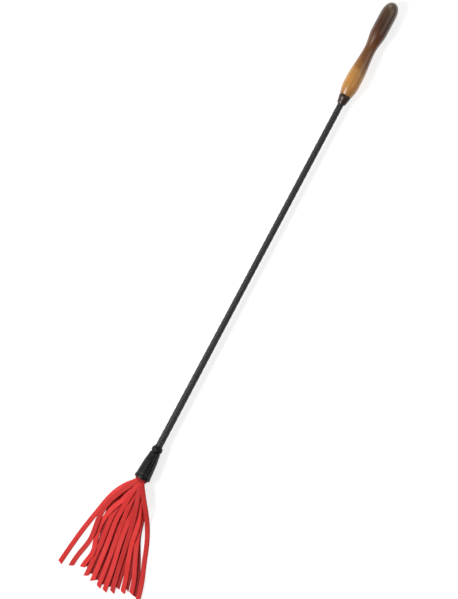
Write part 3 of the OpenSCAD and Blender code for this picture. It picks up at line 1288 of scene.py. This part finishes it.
def plan_path(tail):
    """Points (u, sideways) of one tail's middle line, evenly spaced by length."""
    runs, us, vs = [0.0], [-INSIDE], [plan_offset(-INSIDE, tail)]
    while us[-1] < tail["reach"]:
        us.append(us[-1] + PLAN_STEP)
        vs.append(plan_offset(us[-1], tail))
        runs.append(runs[-1] + hypot(us[-1] - us[-2], vs[-1] - vs[-2]))
    wanted = np.linspace(0, runs[-1], TAIL_STEPS + 1)
    return np.column_stack([np.interp(wanted, runs, us), np.interp(wanted, runs, vs)])


print("each plan has", TAIL_STEPS + 1, "points")

# %% Order of the tails, from the lowest row to the highest
LAYERS = (("under", 8), ("top", 11))
ROWS_PER_LAYER = 3
ROW_HEIGHT = 1.6 * MM
# The strips' middles stay in a round bundle of this radius, less room for half a strip.
MOUTH_ROUND = 6.1 * MM
HALF_STRIP_ROOM = 1.7 * MM
rng = random.Random(11)
tails = []
for layer, count in LAYERS:
    for i in range(count):
        name = "tail_%s_%d" % (layer, i + 1)
        heading, reach = heading_and_reach(name)
        # Neighbours never share a row, so one of them always lies over the other.
        row = (i * 2) % ROWS_PER_LAYER + (ROWS_PER_LAYER if layer == "top" else 0)
        rise = (row - ROWS_PER_LAYER + 0.5) * ROW_HEIGHT
        tails.append({
            "name": name, "heading": heading, "reach": reach, "row": row, "rise": rise,
            "mouth_room": sqrt(MOUTH_ROUND ** 2 - rise ** 2) - HALF_STRIP_ROOM,
            "drift": rng.uniform(-0.9, 0.9) * MM, "drift_length": rng.uniform(17, 30),
            "drift_phase": rng.uniform(0, tau), "bends": BENDS.get(name, []),
            # The lower layer gets a larger number as painted shade under the top strips; the spread
            # within a layer is uneven dye.
            "dye_and_shade": rng.uniform(0.55, 0.95) if layer == "under" else rng.uniform(0.0, 0.42)})
tails.sort(key=lambda tail: tail["row"])
for tail in tails:
    tail["plan"] = plan_path(tail)
    print("%-13s heading %6.1f  reach %5.1f mm  row %d"
          % (tail["name"], tail["heading"], tail["reach"] / MM, tail["row"]))

# %% [markdown]
# ### Laying the tails on each other
#
# The tails are laid one at a time, lowest row first. A tail rests on whatever is under it:
# the surface, or a tail that is there already. Near the mouth its height comes from its
# place in the bundle instead, and a running average keeps each strip from kinking.

# %% Heights of the tails
LEAVES_BUNDLE = 6 * MM
LIES_FLAT = 40 * MM
CONTACT = 0.12 * MM
# Two strips lie on each other where their middles are closer than this share of a width.
OVERLAP_FROM = 0.98
# How many points the running average takes in. It has to be odd.
AVERAGED_POINTS = 9


def laid_heights(tail, placed):
    """Height of a tail's middle at each point of its plan."""
    plan = tail["plan"]
    resting = np.full(len(plan), TAIL_THICK / 2 + CONTACT)
    for other in placed:
        gaps = np.hypot(plan[:, None, 0] - other["plan"][None, :, 0],
                        plan[:, None, 1] - other["plan"][None, :, 1])
        nearest = gaps.argmin(axis=1)
        near = gaps[np.arange(len(plan)), nearest]
        lies_on = other["height"][nearest] + TAIL_THICK + CONTACT
        covers = near < TAIL_WIDTH * OVERLAP_FROM
        resting = np.where(covers, np.maximum(resting, lies_on), resting)
    bundle = stick_z + tail["rise"]
    t = np.clip((plan[:, 0] - LEAVES_BUNDLE) / (LIES_FLAT - LEAVES_BUNDLE), 0, 1)
    fall = (1 - np.cos(np.pi * t)) / 2
    height = bundle * (1 - fall) + resting * fall
    padded = np.pad(height, AVERAGED_POINTS // 2, mode="edge")
    smooth = np.convolve(padded, np.ones(AVERAGED_POINTS) / AVERAGED_POINTS, mode="valid")
    return np.maximum(smooth, TAIL_THICK / 2 + CONTACT)


placed = []
for tail in tails:
    tail["height"] = laid_heights(tail, placed)
    placed.append(tail)
print("highest tail at its tip: %.1f mm" % (max(t["height"][-1] for t in tails) / MM))

# %% [markdown]
# ### Cutting the strips
#
# A strip is a rounded rectangle carried along its path. It is gathered narrower inside the
# mouth, rolls a little with the round bundle, and cups slightly as suede does. Its end is
# cut at a slant, a different one for each strip. A flat plane with a Solidify modifier would
# be quicker, but it couldn't be gathered, cupped and slanted like this.

# %% Section of a strip
CORNER = 0.3 * MM
# What is left of a strip's width at the very tip of its slanted end.
TIP_WIDTH = 0.3 * MM
# This keeps a cupped section about as high as a flat one, on average.
CUP_BALANCE = 0.35


def strip_section(width, cut, cup, slant_way):
    """Section points of a strip. cut is how much of its width is left, from 0 to 1."""
    half = TAIL_THICK / 2
    left, right = -width / 2, width / 2
    if slant_way > 0:
        right = left + max(width * cut, TIP_WIDTH)
    else:
        left = right - max(width * cut, TIP_WIDTH)
    corner = min(CORNER, (right - left) * 0.3)
    top = [(left, half - corner), (left + corner, half), ((3 * left + right) / 4, half),
           ((left + right) / 2, half), ((left + 3 * right) / 4, half),
           (right - corner, half), (right, half - corner)]
    under = [(u, -v) for u, v in reversed(top)]
    return [(u, v + cup * ((2 * u / width) ** 2 - CUP_BALANCE)) for u, v in top + under]


print("section of", len(strip_section(TAIL_WIDTH, 1.0, 0.0, 1)), "points")

# %% Strips
GATHERED_WIDTH = 0.6
FULL_WIDTH_FROM = 15 * MM
BUNDLE_ROLL = radians(-48)
ROLL_HELD = 2 * MM
ROLL_LOST_OVER = 24 * MM
FREE_ROLL = radians(7)
RIPPLE_LENGTH = 21 * MM


def make_tail(tail):
    """One strip, from its place in the mouth to its slanted end."""
    plan, height = tail["plan"], tail["height"]
    path = [Vector((pivot.x - u, pivot.y + v, z)) for (u, v), z in zip(plan, height)]
    length = sum((b - a).length for a, b in zip(path, path[1:]))
    slant = rng.uniform(1.2, 4.2) * MM
    slant_way = rng.choice((-1, 1))
    cup = rng.uniform(-0.12, 0.3) * MM
    bundle_roll = BUNDLE_ROLL * (plan[0][1] / MOUTH_ROUND)
    free_roll = rng.uniform(-FREE_ROLL, FREE_ROLL)
    ripple = rng.uniform(0, tau)
    sides, ups = [], []
    for i in range(len(path)):
        ahead = (path[min(i + 1, len(path) - 1)] - path[max(i - 1, 0)]).normalized()
        flat = Vector((0, 0, 1)).cross(ahead).normalized()
        up = ahead.cross(flat).normalized()
        u = plan[i][0]
        in_bundle = 1 - eased(0, 1, (u - ROLL_HELD) / ROLL_LOST_OVER)
        roll = bundle_roll * in_bundle + free_roll * sin(u / RIPPLE_LENGTH + ripple)
        turned = Matrix.Rotation(-roll, 3, ahead)
        sides.append(turned @ flat)
        ups.append(turned @ up)

    def section(t):
        """The strip's section, from 0 at its start to 1 at its tip."""
        u = np.interp(t, np.linspace(0, 1, len(plan)), plan[:, 0])
        width = TAIL_WIDTH * eased(GATHERED_WIDTH, 1, (u + INSIDE) / FULL_WIDTH_FROM)
        left_over = min(1.0, (1 - t) * length / slant)
        return strip_section(width, left_over, cup * t, slant_way)

    piece = joined(tail["name"].replace("tail", "suede"), [sweep(path, sides, ups, section)])
    # The strip's darkening number: uneven dye, and painted shade for strips of the lower layer.
    dye_and_shade = piece.data.attributes.new("dye_and_shade", "FLOAT", "POINT")
    dye_and_shade.data.foreach_set("value", [tail["dye_and_shade"]] * len(piece.data.vertices))
    finish_piece(piece, red_leather, None, [tail["name"]])
    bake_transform(piece)
    return piece


strips = [make_tail(tail) for tail in tails]
print(len(strips), "strips of suede")

# %% [markdown]
# ## The gathered heads
#
# Inside the mouth the strips are folded over a knot and tied with waxed thread. The folds
# show as pleats that run out into the tails. Folding nineteen real strips would take far
# more points than anyone could see, so the heads are one pleated piece. The knot and the
# thread keep their measured shapes, and get red suede and black thread.

# %% Suede of the heads
def heads_material():
    """Suede in its folds, where the nap is pressed flat. Its darker red is painted shade of the
    folds and the keeper's mouth.
    """
    material, tree, shader = new_material("red suede heads")
    place = node(tree, "ShaderNodeTexCoord")
    surface = use_group(tree, leather_surface, Scale=1.0)
    link(tree, place.outputs["Object"], surface.inputs["Vector"])
    # Both reds are darker than the tails' suede, as painted shade inside the keeper's mouth and its
    # folds.
    colour = mix_colour(tree, surface.outputs["Patches"], srgb(120, 10, 12), srgb(190, 24, 24))
    link(tree, colour, shader.inputs["Base Color"])
    shader.inputs["Roughness"].default_value = 0.7
    add_bump(tree, shader, surface.outputs["Height"], 0.00012, 0.8)
    return material


red_heads = heads_material()
recoat("core_knot", red_heads)
print("suede of the heads with", len(red_heads.node_tree.nodes), "nodes")

# %% Pleated heads
PLEATS = 14
POINTS_PER_PLEAT = 12
HEADS_RINGS = 40
HEADS_R = 7.1 * MM
HEADS_END_R = 1.5 * MM
# Places beyond the turning point, towards the tails.
HEADS_START = -7.0 * MM
HEADS_SHOULDER = -1.5 * MM
HEADS_END = 6.0 * MM
PLEAT_DEPTH = 0.16
# In radians for each metre, how fast the pleats wind round the bundle.
PLEAT_TWIST = 0.12 / MM


def heads_radius(u):
    """A ball towards the rod, which narrows quickly where the tails come out."""
    if u < HEADS_SHOULDER:
        return sqrt(HEADS_R ** 2 - u ** 2)
    shoulder = sqrt(HEADS_R ** 2 - HEADS_SHOULDER ** 2)
    return eased(shoulder, HEADS_END_R, (u - HEADS_SHOULDER) / (HEADS_END - HEADS_SHOULDER))


def make_heads():
    """Rings of points whose radius goes in and out once for each pleat."""
    around = PLEATS * POINTS_PER_PLEAT
    verts, faces = [], []
    for i in range(HEADS_RINGS + 1):
        u = HEADS_START + (HEADS_END - HEADS_START) * i / HEADS_RINGS
        for k in range(around):
            a = tau * k / around
            fold = abs(cos(PLEATS / 2 * a + PLEAT_TWIST * u)) ** 0.6
            r = heads_radius(u) * (1 - PLEAT_DEPTH + PLEAT_DEPTH * fold)
            verts.append(pivot + Vector((-u, r * cos(a), r * sin(a))))
    for start in range(0, HEADS_RINGS * around, around):
        for k in range(around):
            k2 = (k + 1) % around
            faces.append((start + k, start + k2, start + around + k2, start + around + k))
    faces.append(tuple(range(around)))
    faces.append(tuple(HEADS_RINGS * around + k for k in reversed(range(around))))
    heads = new_piece("suede_heads", verts, faces)
    finish_piece(heads, red_heads, "tassel_bundle", ["tail_heads"])


make_heads()
print("gathered heads with", PLEATS, "pleats")

# %% Binding thread
black_thread = yarn_material("thread round the heads", srgb(24, 21, 21), srgb(80, 74, 70), 0.35)
recoat("binding_thread", black_thread)
print("binding thread has its material")

# %% [markdown]
# ## Colours as they are
#
# Blender's usual view transform softens strong colours, as film does, and would turn this
# red towards pink. The standard transform shows each colour as it was set.

# %% View transform
bpy.context.scene.view_settings.view_transform = "Standard"
